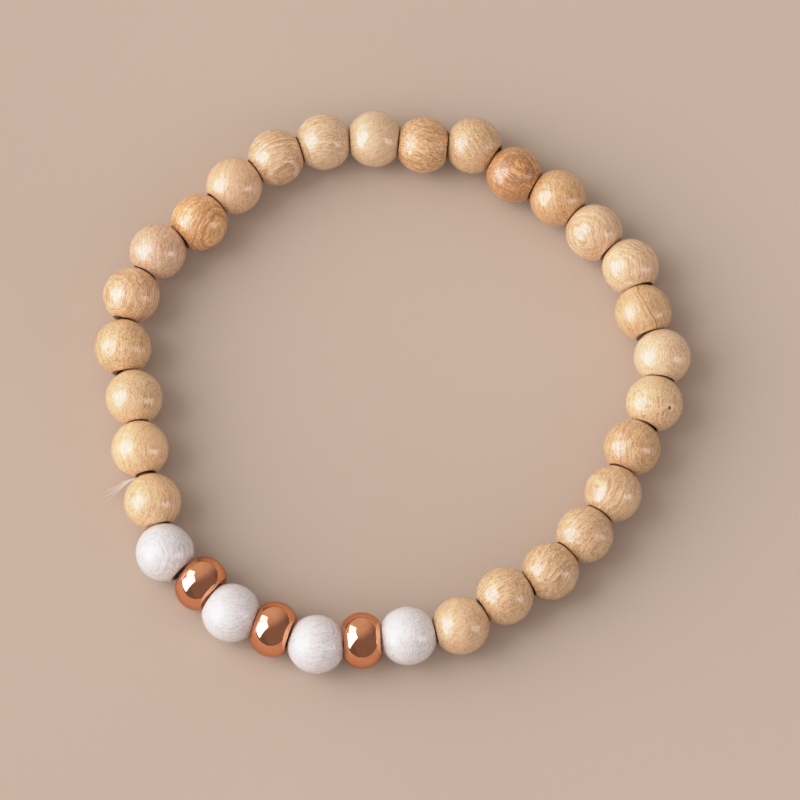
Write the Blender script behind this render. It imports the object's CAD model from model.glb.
import math

import bpy
import numpy as np
from mathutils import Matrix, Vector, noise


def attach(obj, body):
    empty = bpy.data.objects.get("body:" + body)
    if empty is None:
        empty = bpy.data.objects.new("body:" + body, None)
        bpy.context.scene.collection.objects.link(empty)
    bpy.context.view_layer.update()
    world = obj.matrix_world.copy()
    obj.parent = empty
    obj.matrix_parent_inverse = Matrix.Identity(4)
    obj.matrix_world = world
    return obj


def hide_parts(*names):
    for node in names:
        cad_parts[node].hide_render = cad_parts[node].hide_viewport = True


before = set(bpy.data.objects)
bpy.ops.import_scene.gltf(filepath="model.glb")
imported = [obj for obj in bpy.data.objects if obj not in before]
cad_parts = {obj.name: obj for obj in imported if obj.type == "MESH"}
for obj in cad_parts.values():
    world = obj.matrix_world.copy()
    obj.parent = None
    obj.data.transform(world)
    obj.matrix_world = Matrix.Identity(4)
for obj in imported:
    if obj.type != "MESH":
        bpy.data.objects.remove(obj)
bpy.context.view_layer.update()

# Lengths in this script are in millimetres up to where a mesh is made.
MM = 0.001
scene = bpy.context.scene

# Brightness as a camera gives it: even up to a middling light, then ever less steep. It is set on
# the curve that all colours share, by its number.
ALL_COLOURS = 3
TOP_LIGHT = 4.0
TONE_CURVE = (
    (0.0, 0.0), (0.16, 0.16), (0.32, 0.32), (0.48, 0.48), (0.65, 0.65),
    (0.80, 0.772), (1.0, 0.871), (1.28, 0.94), (2.0, 0.993), (4.0, 1.0))
scene.view_settings.view_transform = "Standard"
scene.view_settings.use_curve_mapping = True
mapping = scene.view_settings.curve_mapping
mapping.white_level = (TOP_LIGHT, TOP_LIGHT, TOP_LIGHT)
curve = mapping.curves[ALL_COLOURS]
curve.points[0].location = TONE_CURVE[0]
curve.points[-1].location = (TONE_CURVE[-1][0] / TOP_LIGHT, TONE_CURVE[-1][1])
for light_in, light_out in TONE_CURVE[1:-1]:
    curve.points.new(light_in / TOP_LIGHT, light_out)
mapping.update()

# The photograph's view: the camera stands in front and looks down at the bracelet.
LEAN_FROM_ABOVE = math.radians(18.5)
LENS_MM = 270.0
SENSOR_MM = 36.0
CLIP_START = 0.01
CAMERA_AIM = Vector((0.78, -1.26, 3.0))
CAMERA_DISTANCE = 621.8
VIEW_RIGHT = Vector((1.0, 0.0, 0.0))
VIEW_UP = Vector((0.0, math.cos(LEAN_FROM_ABOVE), math.sin(LEAN_FROM_ABOVE)))
TO_VIEWER = Vector((0.0, -math.sin(LEAN_FROM_ABOVE), math.cos(LEAN_FROM_ABOVE)))


# Sizes of the beads, read from their solids

# The directions tried for a bead's bore, in radians: first all of them coarsely, then those near
# the best one finely. Each row holds how far to either side, and the step.
DIRECTION_SEARCHES = ((math.pi / 2, 0.01), (0.01, 0.0005))
# Points this near to a bead's end lie on its flat
END_BAND = 0.02


def corners_of(node):
    """The corners of a solid of the frame, one row each."""
    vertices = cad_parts[node].data.vertices
    flat = np.empty(len(vertices) * 3)
    vertices.foreach_get("co", flat)
    return flat.reshape(-1, 3) / MM


def shortest_way(plan):
    """The direction in plan in which the points reach least far, as an angle."""
    best = 0.0
    for spread, step in DIRECTION_SEARCHES:
        angles = best + np.arange(-spread, spread, step)
        ways = np.stack([np.cos(angles), np.sin(angles)])
        along = plan @ ways
        best = angles[np.argmin(along.max(0) - along.min(0))]
    return best


def measure(node):
    """Place, heading and sizes of a bead."""
    points = corners_of(node)
    middle = (points.min(0) + points.max(0)) / 2
    angle = shortest_way(points[:, :2] - middle[:2])
    heading = Vector((math.cos(angle), math.sin(angle), 0.0))
    if heading.dot(Vector((-middle[1], middle[0], 0.0))) < 0:
        heading = -heading
    offset = points - middle
    along = offset @ np.array(heading)
    away = np.linalg.norm(offset - along[:, None] * np.array(heading), axis=1)
    half = float(along.max())
    return {
        "node": node,
        "middle": Vector(middle),
        "heading": heading,
        "radius": float(points[:, 2].max() - points[:, 2].min()) / 2,
        "half": half,
        "flat": float(away[along > half - END_BAND].max()),
        "bore": float(away.min()),
    }


def round_the_ring(bead):
    return math.atan2(bead["middle"].y, bead["middle"].x)


BEAD_NODES = [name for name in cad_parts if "_bead_" in name]
BEADS = sorted((measure(name) for name in BEAD_NODES), key=round_the_ring)
BEAD = {bead["node"]: bead for bead in BEADS}

# The ends of the turned beads aren't quite square: each is worn to meet its neighbour, and leaves a
# slit in front of it, which is wider at the knot. An end that faces a metal bead lies flat against
# it, unless the two lean apart by more than this angle, which is given by its cosine.
SLIT = 0.035
KNOT_SLIT = 0.045
LEAST_END_R = 1.0
FLAT_MEETING = math.cos(math.radians(15))
KNOT_BEADS = ("wood_bead_25", "wood_bead_26")


def towards(bead, way):
    """A bead's heading, or the opposite one, whichever is nearer to a way."""
    return bead["heading"] if bead["heading"].dot(way) > 0 else -bead["heading"]


def end_plane(bead, other):
    """The plane of a turned bead's end that faces another bead: its direction and distance."""
    apart = other["middle"] - bead["middle"]
    own, others = towards(bead, apart), towards(other, apart)
    farthest = math.sqrt(bead["radius"] ** 2 - LEAST_END_R ** 2)
    if other["node"].startswith("gold"):
        if own.dot(others) < FLAT_MEETING:
            facing = (own + others).normalized()
            lean = own.angle(facing)
            reach = bead["half"] * math.cos(lean) + bead["flat"] * math.sin(lean)
            return facing, min(reach - SLIT, farthest)
        return others, min(others.dot(apart) - other["half"] - 2 * SLIT, farthest)
    facing = ((own + others).normalized() + apart.normalized()).normalized()
    at_knot = {bead["node"], other["node"]} == set(KNOT_BEADS)
    slit = KNOT_SLIT if at_knot else SLIT
    return facing, min(facing.dot(apart) / 2 - slit, farthest)


for i, bead in enumerate(BEADS):
    bead["behind"] = end_plane(bead, BEADS[i - 1])
    bead["ahead"] = end_plane(bead, BEADS[(i + 1) % len(BEADS)])


# Mesh making

PIECES = []


def make_piece(name, vertices, faces, material, node):
    """A smooth mesh from points in millimetres, which stands for a solid of the frame."""
    mesh = bpy.data.meshes.new(name)
    mesh.from_pydata([tuple(MM * c for c in v) for v in vertices], [], faces)
    mesh.update()
    for polygon in mesh.polygons:
        polygon.use_smooth = True
    mesh.materials.append(material)
    piece = bpy.data.objects.new(name, mesh)
    scene.collection.objects.link(piece)
    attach(piece, "root")
    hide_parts(node)
    PIECES.append(piece)


def bend(start, corner, end, steps):
    """Points of a curve that leaves start and reaches end, rounding the corner between them."""
    points = []
    for i in range(steps + 1):
        t = i / steps
        points.append(tuple(
            (1 - t) ** 2 * a + 2 * t * (1 - t) * c + t ** 2 * b
            for a, c, b in zip(start, corner, end)))
    return points


def between(a, b, share):
    return tuple(p + share * (q - p) for p, q in zip(a, b))


# How far the rim of a turned bead's end is softened, and the bevel of every bore
EDGE = 0.05
BEVEL = 0.1
CORNER_STEPS = 4
# The share of a metal bead's rounded side that is a true arc, and how far its rim runs into the end
ARC_SHARE = 0.97
RIM_WIDTH = 0.15


def turned_half(bead, plane, ahead, out, ball_steps):
    """Half the section of a turned bead, from its middle over the ball and the end into the bore.

    The section lies in the bore's plane that holds the direction out; ahead is along the bore.
    """
    facing, distance = plane
    r, bore = bead["radius"], bead["bore"]
    a, b = facing.dot(ahead), facing.dot(out)
    under_root = (distance * b) ** 2 - (a * a + b * b) * (distance ** 2 - (a * r) ** 2)
    rim_r = (distance * b + math.sqrt(under_root)) / (a * a + b * b)

    def on_end(away):
        return ((distance - away * b) / a, away)

    rim = on_end(rim_r)
    last = math.asin(rim[0] / r) - EDGE / r
    points = []
    for i in range(ball_steps + 1):
        turn = last * i / ball_steps
        points.append((r * math.sin(turn), r * math.cos(turn)))
    mouth_r = min(bore + BEVEL, rim_r - 2 * EDGE)
    mouth = on_end(mouth_r)
    inside = (mouth[0] - BEVEL, mouth_r - BEVEL)
    points += bend(points[-1], rim, on_end(rim_r - EDGE), CORNER_STEPS)[1:]
    points += bend(on_end(mouth_r + 0.4 * EDGE), mouth, between(mouth, inside, 0.4), CORNER_STEPS)
    points += bend(between(mouth, inside, 0.6), inside, (mouth[0] - 3 * BEVEL, bore), CORNER_STEPS)
    return points


def polished_half(bead, rim_steps):
    """Half the section of a metal bead: a rounded rim, a flat end and the bore."""
    r, half, flat, bore = bead["radius"], bead["half"], bead["flat"], bead["bore"]
    arc_middle = (r ** 2 - flat ** 2 - half ** 2) / (2 * (r - flat))
    arc = r - arc_middle
    last = math.asin(half / arc)
    points = []
    for i in range(rim_steps + 1):
        turn = ARC_SHARE * last * i / rim_steps
        points.append((arc * math.sin(turn), arc_middle + arc * math.cos(turn)))
    mouth = (half, bore + BEVEL)
    inside = (half - BEVEL, bore)
    points += bend(points[-1], (half, flat), (half, flat - RIM_WIDTH), CORNER_STEPS)[1:]
    points += bend(between((half, flat), mouth, 0.85), mouth, between(mouth, inside, 0.4), CORNER_STEPS)
    points += bend(between(mouth, inside, 0.6), inside, (half - 2 * BEVEL, bore), CORNER_STEPS)
    return points


def lathe(bead, section, around, dent=None):
    """Turns a section round the bore. Returns points and faces.

    The section is a function of the direction out from the bore: it gives the points from the
    mouth behind to the one ahead, by place along the bore and distance from it.
    """
    heading = bead["heading"]
    side = Vector((-heading.y, heading.x, 0.0))
    top = Vector((0.0, 0.0, 1.0))
    vertices = []
    for k in range(around):
        turn = 2 * math.pi * k / around
        out = math.cos(turn) * side + math.sin(turn) * top
        ring = section(out)
        for x, r in ring:
            offset = x * heading + r * out
            if dent:
                offset = offset - dent(offset) * offset.normalized()
            vertices.append(bead["middle"] + offset)
    rows = len(ring)
    faces = []
    for k in range(around):
        here, there = k * rows, (k + 1) % around * rows
        for j in range(rows):
            up = (j + 1) % rows
            faces.append((here + j, here + up, there + up, there + j))
    return vertices, faces


def turned_section(bead, ball_steps):
    def section(out):
        ahead = turned_half(bead, bead["ahead"], bead["heading"], out, ball_steps)
        behind = turned_half(bead, bead["behind"], -bead["heading"], out, ball_steps)
        return [(-x, r) for x, r in reversed(behind[1:])] + ahead
    return section


def polished_section(bead, rim_steps):
    half = polished_half(bead, rim_steps)
    ring = [(-x, r) for x, r in reversed(half[1:])] + half
    return lambda out: ring


def sweep(route, radius, sides, closed=False):
    """A tube along a route. The radius is a number or a function of the share of the way."""
    count = len(route)
    runs = []
    for i in range(count):
        ahead = route[(i + 1) % count] if closed else route[min(i + 1, count - 1)]
        behind = route[i - 1] if closed else route[max(i - 1, 0)]
        runs.append((ahead - behind).normalized())
    across = runs[0].orthogonal().normalized()
    vertices = []
    for i, (point, run) in enumerate(zip(route, runs)):
        across = (across - across.dot(run) * run).normalized()
        other = run.cross(across)
        r = radius(i / (count - 1)) if callable(radius) else radius
        for k in range(sides):
            turn = 2 * math.pi * k / sides
            vertices.append(point + r * (math.cos(turn) * across + math.sin(turn) * other))
    faces = []
    for i in range(count if closed else count - 1):
        here, there = i * sides, (i + 1) % count * sides
        for k in range(sides):
            faces.append((here + k, here + (k + 1) % sides, there + (k + 1) % sides, there + k))
    if not closed:
        faces.append(tuple(range(sides))[::-1])
        faces.append(tuple((count - 1) * sides + k for k in range(sides)))
    return vertices, faces


def joined(parts):
    """Several meshes as one list of points and one of faces."""
    vertices, faces = [], []
    for points, loops in parts:
        start = len(vertices)
        vertices += points
        faces += [tuple(start + i for i in loop) for loop in loops]
    return vertices, faces


# Materials

# The colour sockets of a mix node, by number: its two colours and its result
COLOUR_A = 6
COLOUR_B = 7
COLOUR_OUT = 2


class Nodes:
    """Short names for making the nodes of one material."""

    def __init__(self, name):
        self.material = bpy.data.materials.new(name)
        self.material.use_nodes = True
        self.tree = self.material.node_tree
        self.shader = self.tree.nodes["Principled BSDF"]

    def new(self, kind, **settings):
        node = self.tree.nodes.new(kind)
        for key, value in settings.items():
            setattr(node, key, value)
        return node

    def put(self, socket, value):
        if isinstance(value, bpy.types.NodeSocket):
            self.tree.links.new(value, socket)
        else:
            socket.default_value = value

    def math(self, operation, a, b=0.0, c=0.0, clamp=False):
        node = self.new("ShaderNodeMath", operation=operation, use_clamp=clamp)
        for socket, value in zip(node.inputs, (a, b, c)):
            self.put(socket, value)
        return node.outputs[0]

    def place(self, vector, location=(0, 0, 0), rotation=(0, 0, 0), scale=(1, 1, 1), how="POINT"):
        node = self.new("ShaderNodeMapping", vector_type=how)
        self.put(node.inputs["Vector"], vector)
        node.inputs["Location"].default_value = location
        node.inputs["Rotation"].default_value = rotation
        node.inputs["Scale"].default_value = scale
        return node.outputs[0]

    def object_place(self):
        return self.new("ShaderNodeTexCoord").outputs["Object"]

    def in_mm(self):
        """The place on the object, in millimetres."""
        return self.place(self.object_place(), scale=(MM, MM, MM), how="TEXTURE")

    def length(self, vector):
        node = self.new("ShaderNodeVectorMath", operation="LENGTH")
        self.put(node.inputs[0], vector)
        return node.outputs["Value"]

    def third(self, vector):
        """A place's third coordinate."""
        node = self.new("ShaderNodeSeparateXYZ")
        self.put(node.inputs[0], vector)
        return node.outputs["Z"]

    def noise(self, vector, scale=1.0, detail=2.0, roughness=0.5):
        node = self.new("ShaderNodeTexNoise")
        self.put(node.inputs["Vector"], vector)
        node.inputs["Scale"].default_value = scale
        node.inputs["Detail"].default_value = detail
        node.inputs["Roughness"].default_value = roughness
        return node.outputs[0]

    def noise_along(self, w, scale, roughness=0.5):
        node = self.new("ShaderNodeTexNoise", noise_dimensions="1D")
        self.put(node.inputs["W"], w)
        node.inputs["Scale"].default_value = scale
        node.inputs["Detail"].default_value = 1.0
        node.inputs["Roughness"].default_value = roughness
        return node.outputs[0]

    def span(self, value, low, high, to_low=0.0, to_high=1.0, smooth=False):
        node = self.new("ShaderNodeMapRange", interpolation_type="SMOOTHSTEP" if smooth else "LINEAR")
        self.put(node.inputs["Value"], value)
        node.inputs["From Min"].default_value = low
        node.inputs["From Max"].default_value = high
        node.inputs["To Min"].default_value = to_low
        node.inputs["To Max"].default_value = to_high
        return node.outputs[0]

    def mix(self, share, a, b):
        node = self.new("ShaderNodeMix", data_type="RGBA")
        self.put(node.inputs[0], share)
        for number, colour in ((COLOUR_A, a), (COLOUR_B, b)):
            value = colour if isinstance(colour, bpy.types.NodeSocket) else (*colour, 1.0)
            self.put(node.inputs[number], value)
        return node.outputs[COLOUR_OUT]

    def bump(self, height, strength, distance_mm):
        node = self.new("ShaderNodeBump")
        node.inputs["Strength"].default_value = strength
        node.inputs["Distance"].default_value = distance_mm * MM
        self.put(node.inputs["Height"], height)
        return node.outputs[0]

    def shade(self, **values):
        """Sets the shader's own sockets, by their names with _ for a space."""
        for key, value in values.items():
            socket = self.shader.inputs[key.replace("_", " ")]
            if isinstance(value, tuple) and len(value) == 3 and socket.type == "RGBA":
                value = (*value, 1.0)
            self.put(socket, value)


def turned_to(*directions):
    """The rotation to three directions that are square to each other."""
    return Matrix(directions).transposed().to_euler()


def grain_frame(angle, tilt):
    """The wood's own directions: along the fibres, across them, and across the growth rings.

    The angle is that of the fibres as the photograph shows them, and the tilt is how far the
    rings' faces turn towards the viewer.
    """
    a, t = math.radians(angle), math.radians(tilt)
    fibres = math.cos(a) * VIEW_RIGHT + math.sin(a) * VIEW_UP
    beside = math.sin(a) * VIEW_RIGHT - math.cos(a) * VIEW_UP
    facing = math.cos(t) * beside + math.sin(t) * TO_VIEWER
    return turned_to(fibres, facing.cross(fibres), facing)


def wood_coordinates(nodes, bead, at):
    """Millimetres from the bead's middle, in the wood's own directions."""
    return nodes.place(
        nodes.object_place(),
        location=bead["middle"] * MM,
        rotation=grain_frame(at["angle"], at["tilt"]),
        scale=(MM, MM, MM),
        how="TEXTURE")


# The light and the dark colour of each tone of wood
TONES = {
    "pale": ((0.765, 0.545, 0.345), (0.47, 0.245, 0.115)),
    "honey": ((0.745, 0.51, 0.30), (0.45, 0.225, 0.095)),
    "tan": ((0.705, 0.46, 0.258), (0.40, 0.195, 0.08)),
    "brown": ((0.60, 0.35, 0.18), (0.30, 0.14, 0.06)),
}

# What a bead's look may set: its brightness, how yellow and how pink it is, how strong its growth
# rings and fibres are, how closely its rings lie (in mm, the wide ones and the fine ones), its
# pores and speckles, how blurred its gloss is, how far the grain shows in the varnish, and single
# dark rings, each by its place, half its width and its strength
PLAIN_LOOK = {
    "shade": 1.0,
    "warmth": 0.0,
    "blush": 0.0,
    "rings": 0.5,
    "ring_room": 0.9,
    "line_room": 0.30,
    "streaks": 0.7,
    "pores": 0.12,
    "speckle": 0.4,
    "gloss": 0.045,
    "grain_bump": 0.55,
    "lines": (),
}


def look(tone, angle, tilt, **more):
    """A bead's look: its tone, the directions of its grain, and what differs from the plain look."""
    return {**PLAIN_LOOK, "tone": tone, "angle": angle, "tilt": tilt, **more}


LOOKS = {
    "wood_bead_01": look(
        "honey", 45, -25, shade=0.99, blush=0.3, streaks=0.6, rings=0.4, gloss=0.04,
        grain_bump=0.4),
    "wood_bead_02": look(
        "tan", 35, 20, shade=1.07, warmth=-0.4, rings=0.4, speckle=0.65, streaks=0.7),
    "wood_bead_03": look("honey", 55, 15, shade=0.96, speckle=0.6, streaks=0.9),
    "wood_bead_04": look("honey", 50, 30, shade=0.94, speckle=0.7, grain_bump=0.8),
    "wood_bead_05": look("pale", 65, -35, shade=0.97, warmth=0.5, rings=0.6),
    "wood_bead_06": look(
        "tan", 88, 40, shade=0.97, warmth=0.4, rings=0.6, speckle=0.65, streaks=0.6),
    "wood_bead_07": look("pale", 88, 10, warmth=0.6, speckle=0.75, rings=0.3, grain_bump=0.9),
    "wood_bead_08": look("pale", 87, 45, shade=1.04, rings=0.35, streaks=0.6, grain_bump=0.7),
    "wood_bead_09": look(
        "honey", 115, 5, shade=0.95, warmth=0.8, streaks=0.6, gloss=0.05, grain_bump=0.8,
        lines=((0.59, 0.11, 1.2),)),
    "wood_bead_10": look("pale", -84, 67, shade=1.09, rings=0.9, line_room=0.15, streaks=0.5),
    "wood_bead_11": look(
        "honey", -77, 64, shade=1.13, warmth=-0.6, rings=1.0, line_room=0.15, streaks=0.5),
    "wood_bead_12": look(
        "honey", 100, 20, shade=0.90, warmth=1.4, blush=0.3, rings=0.4, speckle=0.6, streaks=0.7,
        gloss=0.035, grain_bump=0.4),
    "wood_bead_13": look(
        "brown", 140, 75, shade=1.26, speckle=0.6, warmth=1.5, blush=-0.1, rings=1.4,
        line_room=0.15, streaks=1.0),
    "wood_bead_14": look("honey", 125, 20, shade=0.95, warmth=0.3, speckle=0.6, grain_bump=1.0),
    "wood_bead_15": look("tan", 160, 15, shade=1.09, warmth=0.6, streaks=1.1, grain_bump=1.0),
    "wood_bead_16": look(
        "pale", 30, 10, shade=0.94, blush=0.2, rings=0.3, streaks=0.45, gloss=0.035,
        grain_bump=0.25),
    "wood_bead_17": look("pale", 15, 20, shade=0.96, rings=0.4, gloss=0.045),
    "wood_bead_18": look(
        "honey", 28, 35, shade=1.13, warmth=-0.7, rings=0.9, lines=((-1.9, 0.08, 0.7),)),
    "wood_bead_19": look("pale", 85, 15, shade=0.95, warmth=0.7, blush=0.9, rings=0.4, streaks=0.5),
    "wood_bead_20": look("tan", 60, 30, shade=1.18, warmth=1.4, rings=1.0, streaks=0.9),
    "wood_bead_21": look("pale", 85, 10, shade=0.93, blush=1.0, speckle=0.6, streaks=0.6),
    "wood_bead_22": look(
        "honey", -92, 45, shade=1.10, warmth=0.1, blush=0.5, rings=0.8, line_room=0.22),
    "wood_bead_23": look("honey", 88, 15, shade=1.02, warmth=0.6, speckle=0.6, grain_bump=0.9),
    "wood_bead_24": look(
        "honey", 80, 25, shade=0.99, warmth=0.2, speckle=0.6, streaks=0.5, rings=0.3, gloss=0.09),
    "wood_bead_25": look(
        "honey", 95, 40, shade=1.12, warmth=0.3, rings=0.5, pores=0.1, streaks=0.5,
        lines=((-2.0, 0.07, 0.7),)),
    "wood_bead_26": look(
        "tan", -95, 45, shade=1.14, warmth=-0.2, rings=0.55, line_room=0.25, streaks=0.5),
}

# The flat ends and the bore are bare end grain, and dark from stain and wear. They fade into the
# ball over these distances: in from the plane of an end, and out from the wall of the bore.
END_WOOD = (0.15, 0.075, 0.04)
END_WHITE = (0.22, 0.19, 0.17)
END_FADE = (0.01, 0.05)
BORE_FADE = (0.05, 0.15)
# A scale that flattens a direction, so that only the distance across it counts
FLATTENED = 1.0e6


def ball_share(nodes, bead):
    """1 on a turned bead's ball, and 0 on its flat ends and in its bore."""
    place = nodes.object_place()
    heading = bead["heading"]
    side = Vector((-heading.y, heading.x, 0.0))
    away = nodes.place(
        place,
        location=bead["middle"] * MM,
        rotation=turned_to(heading, side, Vector((0.0, 0.0, 1.0))),
        scale=(FLATTENED, MM, MM),
        how="TEXTURE")
    share = nodes.span(nodes.length(away), bead["bore"] + BORE_FADE[0], bead["bore"] + BORE_FADE[1])
    for facing, distance in (bead["ahead"], bead["behind"]):
        reach = nodes.new("ShaderNodeVectorMath", operation="DOT_PRODUCT")
        nodes.put(reach.inputs[0], place)
        reach.inputs[1].default_value = facing / MM
        end = facing.dot(bead["middle"]) + distance
        ball = nodes.span(reach.outputs["Value"], end - END_FADE[0], end - END_FADE[1], smooth=True)
        share = nodes.math("MULTIPLY", share, ball)
    return share


# The pit in bead 7: how far right of the bead's middle and above it the photograph shows it, its
# half sizes in the same directions, its depth and its colour
PIT_BEAD = "wood_bead_07"
PIT_AT = (1.50, -0.45)
PIT_HALF = (0.11, 0.20)
PIT_DEPTH = 0.30
PIT_COLOUR = (0.02, 0.012, 0.008)


def pit_middle(bead):
    """Where the pit is on the bead's surface, from the bead's middle."""
    right, up = PIT_AT
    ahead = math.sqrt(bead["radius"] ** 2 - right ** 2 - up ** 2)
    return right * VIEW_RIGHT + up * VIEW_UP + ahead * TO_VIEWER


def pit_share(nodes, bead):
    """1 inside the pit and 0 outside it."""
    across = nodes.place(
        nodes.object_place(),
        location=(bead["middle"] + pit_middle(bead)) * MM,
        rotation=turned_to(VIEW_RIGHT, VIEW_UP, TO_VIEWER),
        scale=(PIT_HALF[0] * MM, PIT_HALF[1] * MM, MM),
        how="TEXTURE")
    return nodes.span(nodes.length(across), 1.0, 0.8)


# How densely the wood's patterns lie along the fibres, across them and across the rings, in
# features a millimetre
WANDER_DENSITY = (0.25, 0.5, 0.5)
LONG_LINE_DENSITY = (0.4, 4.4, 4.4)
HAIR_DENSITY = (1.1, 8.0, 8.0)
FLECK_DENSITY = (1.8, 6.0, 6.0)
GRIT_DENSITY = (4.0, 7.0, 7.0)
MOTTLE_DENSITY = 0.45
# How far the rings wander, in mm
WANDER = 1.6
# How much each pattern at full strength darkens the wood, from its light colour to its dark one
WIDE_RINGS = 0.25
FINE_RINGS = 0.65
STREAKS = 1.15
SPECKLES = 1.5
MOTTLE = 0.25
# What is taken off their sum, so that plain wood keeps its light colour
PLAIN_LEVEL = 0.46
# How far the lightest specks go beyond the light colour, as a share of the way to the dark one
LIGHTEST = 0.14
# Single dark rings are placed from the bead's middle, as if the rings wandered by half their range
HALF_WANDER = WANDER / 2
# Pores are darker than the dark colour
PORE_DARKNESS = 0.8
# What a warmth and a blush of 1 add to red, green and blue
WARM_TINT = (0.03, -0.03, -0.15)
PINK_TINT = (0.02, -0.04, 0.02)
# The varnish, and how deep the grain lies in the wood and in the varnish over it, in mm
COAT_IOR = 1.7
WOOD_RELIEF = 0.022
COAT_RELIEF = 0.016


def tinted(colour, at):
    """A tone's colour as one bead has it."""
    return tuple(
        c * (at["shade"] * (1 + at["warmth"] * warm + at["blush"] * pink))
        for c, warm, pink in zip(colour, WARM_TINT, PINK_TINT))


def wood_material(bead, seed):
    """Varnished natural wood: growth rings, fibres, pores and a clear coat."""
    name = bead["node"]
    at = LOOKS[name]
    nodes = Nodes("varnished_" + name)
    shift = (7.3 * seed, 3.1 * seed, 5.7 * seed)
    wood = wood_coordinates(nodes, bead, at)

    def grain(density, **settings):
        return nodes.noise(nodes.place(wood, location=shift, scale=density), **settings)

    def rings(room, low, high, roughness=0.5, smooth=False):
        lines = nodes.noise_along(depth_shifted, scale=1 / room, roughness=roughness)
        return nodes.span(lines, low, high, smooth=smooth)

    # The rings wander a little, so their lines aren't quite parallel.
    wander = grain(WANDER_DENSITY, detail=2.0)
    depth = nodes.math("MULTIPLY_ADD", wander, WANDER, nodes.third(wood))
    depth_shifted = nodes.math("ADD", depth, shift[0])
    wide = rings(at["ring_room"], 0.38, 0.62, smooth=True)
    fine = rings(at["line_room"], 0.42, 0.60, roughness=0.6)

    # Fibres run along the wood, in long thin lines and in shorter ones.
    long_lines = nodes.span(grain(LONG_LINE_DENSITY, detail=2.0, roughness=0.65), 0.42, 0.60)
    hair = nodes.span(grain(HAIR_DENSITY, detail=1.0, roughness=0.6), 0.43, 0.58)
    streaks = nodes.math("MULTIPLY_ADD", hair, 0.5, nodes.math("MULTIPLY", long_lines, 0.5))

    # Pores are short dark flecks along the fibres, speckles are light and dark points, and the
    # mottle is a slow change over the whole bead.
    pores = nodes.span(grain(FLECK_DENSITY, detail=1.0), 0.60, 0.70, smooth=True)
    grit = grain(GRIT_DENSITY, detail=2.0, roughness=0.8)
    speckle = nodes.span(grit, 0.35, 0.65, -0.5, 0.5)
    mottle = nodes.span(
        nodes.noise(nodes.place(wood, location=shift), scale=MOTTLE_DENSITY, detail=1.0), 0.3, 0.7)

    darker = nodes.math("MULTIPLY", wide, WIDE_RINGS * at["rings"])
    for pattern, strength in (
            (fine, FINE_RINGS * at["rings"]), (streaks, STREAKS * at["streaks"]),
            (speckle, SPECKLES * at["speckle"]), (mottle, MOTTLE)):
        darker = nodes.math("MULTIPLY_ADD", pattern, strength, darker)
    for place, half_width, strength in at["lines"]:
        gap = nodes.math("ABSOLUTE", nodes.math("SUBTRACT", depth, place + HALF_WANDER))
        line = nodes.span(gap, half_width, 0.4 * half_width, 0.0, strength, smooth=True)
        darker = nodes.math("ADD", darker, line)
    darker = nodes.math("SUBTRACT", darker, PLAIN_LEVEL - LIGHTEST)

    light, dark = (tinted(colour, at) for colour in TONES[at["tone"]])
    lightest = tuple(a + LIGHTEST * (a - b) for a, b in zip(light, dark))
    deep = tuple(PORE_DARKNESS * c for c in dark)
    colour = nodes.mix(nodes.math("DIVIDE", darker, 1 + LIGHTEST, clamp=True), lightest, dark)
    colour = nodes.mix(nodes.math("MULTIPLY", pores, at["pores"]), colour, deep)
    if name == PIT_BEAD:
        colour = nodes.mix(pit_share(nodes, bead), colour, PIT_COLOUR)
    ball = ball_share(nodes, bead)
    colour = nodes.mix(ball, END_WOOD, colour)

    height = nodes.math("MULTIPLY_ADD", streaks, -1.0, nodes.math("MULTIPLY", pores, -1.0))
    height = nodes.math("MULTIPLY_ADD", fine, -0.6 * at["rings"], height)
    height = nodes.math("MULTIPLY_ADD", grit, 0.8, height)
    nodes.shade(
        Base_Color=colour,
        Roughness=nodes.span(streaks, 0.0, 1.0, 0.34, 0.5),
        Specular_IOR_Level=0.25,
        Normal=nodes.bump(height, 0.9, WOOD_RELIEF),
        Coat_Weight=ball,
        Coat_Roughness=at["gloss"],
        Coat_IOR=COAT_IOR,
        Coat_Normal=nodes.bump(height, at["grain_bump"], COAT_RELIEF),
        Subsurface_Weight=0.15,
        Subsurface_Radius=(1.0, 0.5, 0.25),
        Subsurface_Scale=0.7 * MM)
    return nodes.material


# The white beads: the directions of their grain, and how strongly their rings show
WHITE_LOOKS = {
    "white_bead_1": {"angle": -80, "tilt": 59, "rings": 1.0},
    "white_bead_2": {"angle": -170, "tilt": 40, "rings": 0.5},
    "white_bead_3": {"angle": -172, "tilt": 45, "rings": 0.5},
    "white_bead_4": {"angle": 83, "tilt": 57, "rings": 0.4},
}
WHITE_LIGHT = (0.83, 0.805, 0.835)
WHITE_GREY = (0.60, 0.58, 0.61)
WHITE_HAIR_DENSITY = (0.7, 5.5, 5.5)
WHITE_GRIT_DENSITY = (3.5, 5.0, 5.0)
WHITE_RINGS_A_MM = 4.0
WHITE_WANDER = 1.2
WHITE_RELIEF = 0.03
WHITE_COAT_RELIEF = 0.014


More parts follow.
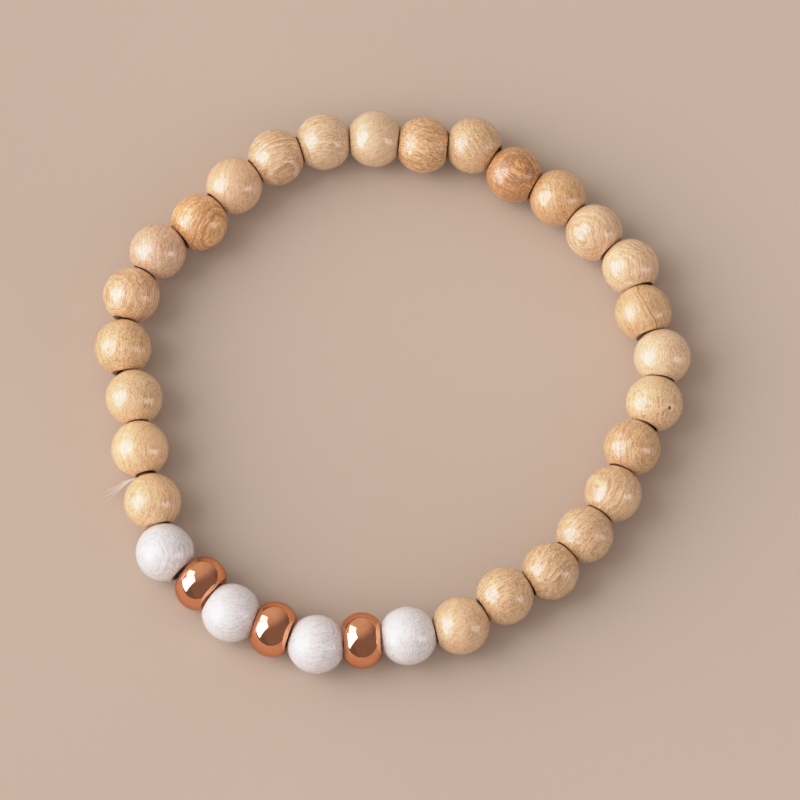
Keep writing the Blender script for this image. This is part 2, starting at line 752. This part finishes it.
def white_material(bead, seed):
    """White-stained wood: the grain stays as faint grey lines and small ridges."""
    at = WHITE_LOOKS[bead["node"]]
    nodes = Nodes("stained_" + bead["node"])
    shift = (4.9 * seed, 6.3 * seed, 2.7 * seed)
    wood = wood_coordinates(nodes, bead, at)

    def grain(density, **settings):
        return nodes.noise(nodes.place(wood, location=shift, scale=density), **settings)

    wander = grain(WANDER_DENSITY, detail=2.0)
    depth = nodes.math(
        "MULTIPLY_ADD", wander, WHITE_WANDER, nodes.math("ADD", nodes.third(wood), shift[0]))
    rings = nodes.span(nodes.noise_along(depth, scale=WHITE_RINGS_A_MM), 0.46, 0.64, smooth=True)
    hair = nodes.span(grain(WHITE_HAIR_DENSITY, detail=2.0, roughness=0.7), 0.42, 0.60)
    grit = grain(WHITE_GRIT_DENSITY, detail=2.0, roughness=0.7)
    speckle = nodes.span(grit, 0.35, 0.65, -0.35, 0.35)
    pattern = nodes.math("MULTIPLY_ADD", rings, 0.5 * at["rings"], nodes.math("MULTIPLY", hair, 0.6))
    pattern = nodes.math("ADD", pattern, speckle, clamp=True)
    colour = nodes.mix(pattern, WHITE_LIGHT, WHITE_GREY)
    colour = nodes.mix(ball_share(nodes, bead), END_WHITE, colour)
    height = nodes.math("MULTIPLY_ADD", grit, 0.5, nodes.math("MULTIPLY", pattern, -1.0))
    nodes.shade(
        Base_Color=colour,
        Roughness=nodes.span(pattern, 0.0, 1.0, 0.38, 0.5),
        Specular_IOR_Level=0.5,
        Normal=nodes.bump(height, 1.0, WHITE_RELIEF),
        Coat_Weight=1.0,
        Coat_Roughness=0.11,
        Coat_IOR=1.6,
        Coat_Normal=nodes.bump(height, 0.6, WHITE_COAT_RELIEF),
        Subsurface_Weight=0.15,
        Subsurface_Radius=(1.0, 0.8, 0.7),
        Subsurface_Scale=0.5 * MM)
    return nodes.material


# The metal's two colours, its tint where it is seen edge on, and the height of its unevenness in mm
ROSE_LIGHT = (0.94, 0.45, 0.26)
ROSE_DEEP = (0.84, 0.375, 0.205)
ROSE_EDGE = (0.80, 0.62, 0.50)
METAL_RELIEF = 0.004


def rose_gold_material():
    """Polished rose gold, with the faintest trace of handling."""
    nodes = Nodes("polished_rose_gold")
    place = nodes.in_mm()
    smear = nodes.noise(place, scale=0.9, detail=3.0)
    scuff_place = nodes.place(place, scale=(2.0, 6.0, 3.0))
    scuff = nodes.noise(scuff_place, scale=2.0, detail=3.0, roughness=0.7)
    mixed = nodes.math("MULTIPLY_ADD", scuff, 0.6, nodes.math("MULTIPLY", smear, 0.4))
    nodes.shade(
        Base_Color=nodes.mix(nodes.span(mixed, 0.38, 0.62), ROSE_LIGHT, ROSE_DEEP),
        Metallic=1.0,
        Specular_Tint=ROSE_EDGE,
        Roughness=nodes.span(smear, 0.3, 0.7, 0.05, 0.09),
        Normal=nodes.bump(nodes.math("MULTIPLY_ADD", smear, 2.0, scuff), 0.3, METAL_RELIEF))
    return nodes.material


ELASTIC_RELIEF = 0.02


def elastic_material(name, pale, deep, clear):
    """Milky elastic fibre with a fine uneven surface."""
    nodes = Nodes(name)
    fuzz = nodes.noise(nodes.in_mm(), scale=6.0, detail=3.0, roughness=0.6)
    nodes.shade(
        Base_Color=nodes.mix(nodes.span(fuzz, 0.35, 0.65), pale, deep),
        Roughness=nodes.span(fuzz, 0.3, 0.7, 0.2, 0.4),
        IOR=1.48,
        Transmission_Weight=clear,
        Normal=nodes.bump(fuzz, 0.4, ELASTIC_RELIEF))
    return nodes.material


# The beads

# Steps around a bead and from its middle to its end, for a turned bead, the one with the pit, and
# a metal one
AROUND = 84
BALL_STEPS = 16
FINE_AROUND = 240
FINE_BALL_STEPS = 44
METAL_AROUND = 144
METAL_RIM_STEPS = 22
# Real turned beads aren't perfectly round: how far the surface dips, at most
UNEVEN = 0.035


def uneven(seed):
    """How far one bead's surface dips, by the place from its middle."""
    shift = Vector((11.0 * seed, 5.0 * seed, 3.0 * seed))

    def dent(offset):
        slow = noise.noise(offset * 0.28 + shift)
        quick = noise.noise(offset * 0.8 + shift)
        return UNEVEN * (0.5 + 0.4 * slow + 0.1 * quick)
    return dent


def pitted(seed, bead):
    """How far the surface of the bead with the pit dips."""
    plain = uneven(seed)
    middle = pit_middle(bead)

    def dent(offset):
        away = offset - middle
        share = (away.dot(VIEW_RIGHT) / PIT_HALF[0]) ** 2 + (away.dot(VIEW_UP) / PIT_HALF[1]) ** 2
        pit = PIT_DEPTH * max(0.0, 1 - share) ** 0.5 if away.length < 1.0 else 0.0
        return plain(offset) + pit
    return dent


rose_gold = rose_gold_material()
for seed, bead in enumerate(BEADS, start=1):
    node = bead["node"]
    if node.startswith("gold"):
        vertices, faces = lathe(bead, polished_section(bead, METAL_RIM_STEPS), METAL_AROUND)
        make_piece("polished_" + node, vertices, faces, rose_gold, node)
        continue
    if node == PIT_BEAD:
        section = turned_section(bead, FINE_BALL_STEPS)
        vertices, faces = lathe(bead, section, FINE_AROUND, pitted(seed, bead))
    else:
        section = turned_section(bead, BALL_STEPS)
        vertices, faces = lathe(bead, section, AROUND, uneven(seed))
    if node.startswith("white"):
        material, slot = white_material(bead, seed), "white_wood"
    else:
        material, slot = wood_material(bead, seed), LOOKS[node]["tone"] + "_wood"
    make_piece("turned_" + node, vertices, faces, material, node)


# The elastic thread, its knot and its frayed tail

# Each material has a pale and a deep colour, and a share that is clear.
worn_elastic = elastic_material("worn_elastic", (0.24, 0.17, 0.115), (0.16, 0.11, 0.07), 0.4)
clear_elastic = elastic_material("clear_elastic", (0.92, 0.88, 0.82), (0.74, 0.69, 0.62), 0.3)
STRANDS = 3
STRAND_R = 0.16
STRAND_OFF = 0.18
STRAND_SIDES = 6
TWIST_LENGTH = 1.8
STEP = 0.15


def axis_point(bead, ahead):
    """A point on the axis of a bead's bore."""
    return bead["middle"] + ahead * bead["heading"]


def string_route():
    """The middle of the thread: through each bead, and halfway between facing bores."""
    points = []
    for i, bead in enumerate(BEADS):
        before = BEADS[i - 1]
        points.append((axis_point(before, before["half"]) + axis_point(bead, -bead["half"])) / 2)
        points.append(bead["middle"])
    return points


def closed_samples(points, step):
    """Points at even steps along a closed route."""
    loop = [*points, points[0]]
    lengths = [0.0]
    for a, b in zip(loop, loop[1:]):
        lengths.append(lengths[-1] + (b - a).length)
    count = round(lengths[-1] / step)
    samples = []
    leg = 0
    for i in range(count):
        at = lengths[-1] * i / count
        while lengths[leg + 1] < at:
            leg += 1
        share = (at - lengths[leg]) / (lengths[leg + 1] - lengths[leg])
        samples.append(loop[leg].lerp(loop[leg + 1], share))
    return samples, lengths[-1]


ROUTE, ROUTE_LENGTH = closed_samples(string_route(), STEP)
TWISTS = round(ROUTE_LENGTH / TWIST_LENGTH)


def strand(k):
    """The middle of one strand, which winds round the route."""
    points = []
    for i, point in enumerate(ROUTE):
        run = (ROUTE[(i + 1) % len(ROUTE)] - ROUTE[i - 1]).normalized()
        level = Vector((-run.y, run.x, 0.0)).normalized()
        upright = run.cross(level)
        turn = 2 * math.pi * (TWISTS * i / len(ROUTE) + k / STRANDS)
        points.append(point + STRAND_OFF * (math.cos(turn) * level + math.sin(turn) * upright))
    return points


vertices, faces = joined([
    sweep(strand(k), STRAND_R, STRAND_SIDES, closed=True) for k in range(STRANDS)])
make_piece("twisted_thread", vertices, faces, worn_elastic, "elastic_thread")

# The knot: windings close round the thread and one strand that crosses them
BEFORE_KNOT, AFTER_KNOT = (BEAD[node] for node in KNOT_BEADS)
KNOT_AT = (
    axis_point(BEFORE_KNOT, BEFORE_KNOT["half"]) + axis_point(AFTER_KNOT, -AFTER_KNOT["half"])) / 2
KNOT_RUN = (AFTER_KNOT["middle"] - BEFORE_KNOT["middle"]).normalized()
KNOT_LEVEL = Vector((-KNOT_RUN.y, KNOT_RUN.x, 0.0)).normalized()
KNOT_UPRIGHT = KNOT_RUN.cross(KNOT_LEVEL)
WINDING_R = 0.53
WINDING_STRAND = 0.13
WINDINGS = 3
WINDING_STEPS = 36
# How far the windings spread along the thread, and how far they stray outwards
WINDING_SPREAD = 0.30
WINDING_STRAY = 0.04
CROSSING_R = WINDING_R + 0.08
CROSSING_STRAND = 0.11
CROSSING_STEPS = 24
KNOT_SIDES = 8


def knot_point(along, out, turn):
    """A point by its place along the thread, its distance from it and the turn round it."""
    return (
        KNOT_AT + along * KNOT_RUN
        + out * (math.cos(turn) * KNOT_LEVEL + math.sin(turn) * KNOT_UPRIGHT))


def winding():
    points = []
    steps = WINDING_STEPS * WINDINGS
    for i in range(steps + 1):
        turn = 2 * math.pi * WINDINGS * i / steps
        out = WINDING_R + WINDING_STRAY * math.sin(2.3 * turn)
        points.append(knot_point(WINDING_SPREAD * (i / steps - 0.5), out, turn))
    return points


def crossing():
    points = []
    for i in range(CROSSING_STEPS + 1):
        share = i / CROSSING_STEPS - 0.5
        points.append(knot_point(WINDING_SPREAD * share, CROSSING_R, math.pi * (0.5 + 1.1 * share)))
    return points


vertices, faces = joined([
    sweep(winding(), WINDING_STRAND, KNOT_SIDES), sweep(crossing(), CROSSING_STRAND, KNOT_SIDES)])
make_piece("wound_knot", vertices, faces, worn_elastic, "thread_knot")

# The tail, whose route is the one of its solid: how far out from the ring, along the string, and
# high each of its points is
TAIL_START = 0.81
TAIL = (
    (0.0, 0.0, 2.9), (0.8, 0.0, 2.6), (1.5, 0.0, 2.0),
    (2.2, 0.1, 1.2), (3.0, 0.2, 0.6), (4.0, 0.4, 0.3))
# How far along the route each filament reaches
FILAMENT_REACHES = (0.86, 0.97, 0.78, 1.0, 0.9, 0.74, 0.94)
FILAMENTS = len(FILAMENT_REACHES)
FILAMENT_R = 0.024
FILAMENT_STEPS = 20
FILAMENT_SIDES = 6
# How far the outer filaments lie from the middle at the knot, how much that grows up to their tips,
# how far each strays, and the least room left between one and the floor
SPREAD_AT_KNOT = 0.06
SPREAD_GROWTH = 0.56
SIDEWAYS_STRAY = 0.08
UPWARD_STRAY = 0.05
FLOOR_ROOM = 0.01
TAIL_OUT = Vector((KNOT_RUN.y, -KNOT_RUN.x, 0.0)).normalized()


def tail_point(share):
    """The point of the tail's route at a share of the way."""
    at = share * (len(TAIL) - 1)
    i = min(int(at), len(TAIL) - 2)
    out, along, high = (a + (at - i) * (b - a) for a, b in zip(TAIL[i], TAIL[i + 1]))
    point = KNOT_AT + (TAIL_START + out) * TAIL_OUT + along * KNOT_RUN
    return Vector((point.x, point.y, high))


def filament(k):
    """One fine fibre of the tail, which spreads from the others towards its tip."""
    side = 2 * k / (FILAMENTS - 1) - 1
    points = []
    for i in range(FILAMENT_STEPS + 1):
        share = FILAMENT_REACHES[k] * i / FILAMENT_STEPS
        spread = SPREAD_AT_KNOT + SPREAD_GROWTH * share ** 1.6
        wobble = SIDEWAYS_STRAY * share * noise.noise(Vector((3.0 * share, 4.7 * k, 0.0)))
        lift = UPWARD_STRAY * math.sin(2.1 * k + 5 * share)
        point = tail_point(share) + (spread * side + wobble) * KNOT_RUN
        point.z = max(point.z + lift, FILAMENT_R + FLOOR_ROOM)
        points.append(point)
    return points


def filament_radius(share):
    return FILAMENT_R * (1 - 0.5 * share)


vertices, faces = joined([
    sweep(filament(k), filament_radius, FILAMENT_SIDES) for k in range(FILAMENTS)])
make_piece("frayed_tail", vertices, faces, clear_elastic, "thread_tail")


# The floor

FLOOR_HALF = 3000.0
FLOOR_LIGHT = (0.505, 0.412, 0.348)
FLOOR_DEEP = (0.485, 0.395, 0.332)


def floor_material():
    nodes = Nodes("plain_floor")
    soft = nodes.noise(nodes.in_mm(), scale=0.02, detail=1.0)
    colour = nodes.mix(nodes.span(soft, 0.3, 0.7), FLOOR_LIGHT, FLOOR_DEEP)
    nodes.shade(Base_Color=colour, Roughness=0.9, Specular_IOR_Level=0.2)
    return nodes.material


mesh = bpy.data.meshes.new("floor")
corners = ((-1, -1), (1, -1), (1, 1), (-1, 1))
mesh.from_pydata(
    [(x * FLOOR_HALF * MM, y * FLOOR_HALF * MM, 0.0) for x, y in corners], [], [(0, 1, 2, 3)])
mesh.materials.append(floor_material())
floor = bpy.data.objects.new("floor", mesh)
scene.collection.objects.link(floor)


# Light

# Panels are given as seen from the bracelet: the direction to their middle, their own directions,
# and half their sizes as shares of their distance, which is in metres here.
LIGHT_DISTANCE = 3.0
WINDOW_ACROSS = (0.343, -0.926, 0.157)
WINDOW_UPRIGHT = (0.048, 0.185, 0.982)
SIDE_ACROSS = (0.094, 0.98, -0.174)
SIDE_UPRIGHT = (-0.097, -0.165, -0.982)

# A light falls on everything, on the metal beads only, or on all but them.
unpolished = bpy.data.collections.new("unpolished")
polished = bpy.data.collections.new("polished")
for piece in [*PIECES, floor]:
    (polished if piece.name.startswith("polished_") else unpolished).objects.link(piece)


def soft_light(
        name, towards, across, upright, half_width, half_height, strength, colour, receivers=None):
    """A rectangular light panel, as bright all over as its strength says."""
    data = bpy.data.lights.new(name, "AREA")
    data.shape = "RECTANGLE"
    data.size = 2 * half_width * LIGHT_DISTANCE
    data.size_y = 2 * half_height * LIGHT_DISTANCE
    data.energy = strength * math.pi * data.size * data.size_y
    data.color = colour
    light = bpy.data.objects.new(name, data)
    across, upright = Vector(across).normalized(), Vector(upright).normalized()
    away = across.cross(upright)
    light.matrix_world = Matrix.Translation(Vector(towards) * LIGHT_DISTANCE) @ Matrix(
        (across, upright, away)).transposed().to_4x4()
    scene.collection.objects.link(light)
    if receivers:
        light.light_linking.receiver_collection = receivers
    return light


def facing_light(name, towards, half_width, half_height, strength, colour, receivers, lean=0.0):
    """A panel that faces the bracelet squarely, with its width level or leaning."""
    towards = Vector(towards).normalized()
    across = Vector((-towards.y, towards.x, 0.0)).normalized()
    across = math.cos(lean) * across + math.sin(lean) * towards.cross(across)
    return soft_light(
        name, towards, across, towards.cross(across),
        half_width, half_height, strength, colour, receivers)


# The window has a wide panel and a narrow one beside it. Its reflections have strengths of their
# own: a glare on the metal, and a softer shine on the varnish. The glow of the room lightens what
# the metal mirrors.
window = soft_light(
    "window", (-0.707, 0.049, 0.706), WINDOW_ACROSS, WINDOW_UPRIGHT,
    0.331, 0.658, 3.75, (1.0, 0.965, 0.945))
window.visible_glossy = False
soft_light(
    "window_side", (-0.625, 0.522, 0.58), SIDE_ACROSS, SIDE_UPRIGHT,
    0.191, 0.400, 1.5, (1.0, 0.98, 0.95))
soft_light(
    "window_glare", (-0.693, 0.048, 0.692), WINDOW_ACROSS, WINDOW_UPRIGHT,
    0.325, 0.645, 8.0, (0.55, 0.62, 1.0), polished)
soft_light(
    "side_glare", (-0.613, 0.512, 0.568), SIDE_ACROSS, SIDE_UPRIGHT,
    0.187, 0.392, 2.4, (0.2, 0.68, 1.0), polished)
facing_light("room_glow", (0.35, -0.45, 0.82), 1.6, 1.6, 0.06, (1.0, 0.6, 0.55), polished)
shine = soft_light(
    "window_shine", (-0.76, -0.06, 0.647), WINDOW_ACROSS, WINDOW_UPRIGHT,
    0.40, 0.62, 4.0, (1.0, 0.85, 1.0), unpolished)
shine.visible_diffuse = False

# A second window far off, and the glow of the room in front, on the left and on the right. The
# metal doesn't take them up, so that it keeps its dark reflections.
facing_light(
    "far_window", (0.86, -0.31, 0.40), 0.16, 0.34, 2.6, (1.0, 0.93, 0.96), unpolished,
    lean=math.radians(20))
facing_light("room_front", (-0.35, -0.55, 0.75), 1.0, 1.0, 0.68, (1.0, 0.94, 0.87), unpolished)
room_left = facing_light(
    "room_left", (-0.93, -0.35, 0.14), 0.5, 0.22, 0.7, (1.0, 0.96, 0.93), unpolished)
room_left.visible_diffuse = False
facing_light("room_right", (0.85, -0.25, 0.46), 0.8, 0.8, 0.05, (1.0, 0.84, 0.70), unpolished)


# Surroundings: dim in front, brighter behind the bracelet

ROOM_BRIGHT_WAY = Vector((-0.30, 0.85, 0.43)).normalized()
ROOM_DIM = (0.175, 0.155, 0.145, 1.0)
ROOM_BRIGHT = (0.64, 0.585, 0.515, 1.0)
# How squarely a direction has to face the bright side to begin to brighten
BRIGHT_FROM = 0.1
world = bpy.data.worlds.new("soft_room")
scene.world = world
world.use_nodes = True
tree = world.node_tree
background = tree.nodes["Background"]
direction = tree.nodes.new("ShaderNodeTexCoord").outputs["Generated"]
dot = tree.nodes.new("ShaderNodeVectorMath")
dot.operation = "DOT_PRODUCT"
tree.links.new(direction, dot.inputs[0])
dot.inputs[1].default_value = ROOM_BRIGHT_WAY
spread = tree.nodes.new("ShaderNodeMapRange")
spread.interpolation_type = "SMOOTHSTEP"
tree.links.new(dot.outputs["Value"], spread.inputs["Value"])
spread.inputs["From Min"].default_value = BRIGHT_FROM
spread.inputs["From Max"].default_value = 1.0
room = tree.nodes.new("ShaderNodeMix")
room.data_type = "RGBA"
tree.links.new(spread.outputs[0], room.inputs[0])
room.inputs[COLOUR_A].default_value = ROOM_DIM
room.inputs[COLOUR_B].default_value = ROOM_BRIGHT
tree.links.new(room.outputs[COLOUR_OUT], background.inputs["Color"])
background.inputs["Strength"].default_value = 1.0


# Camera

data = bpy.data.cameras.new("camera")
data.lens = LENS_MM
data.sensor_width = SENSOR_MM
data.clip_start = CLIP_START
camera = bpy.data.objects.new("camera", data)
camera.matrix_world = Matrix.Translation((CAMERA_AIM + CAMERA_DISTANCE * TO_VIEWER) * MM) @ Matrix(
    (VIEW_RIGHT, VIEW_UP, TO_VIEWER)).transposed().to_4x4()
scene.collection.objects.link(camera)
scene.camera = camera
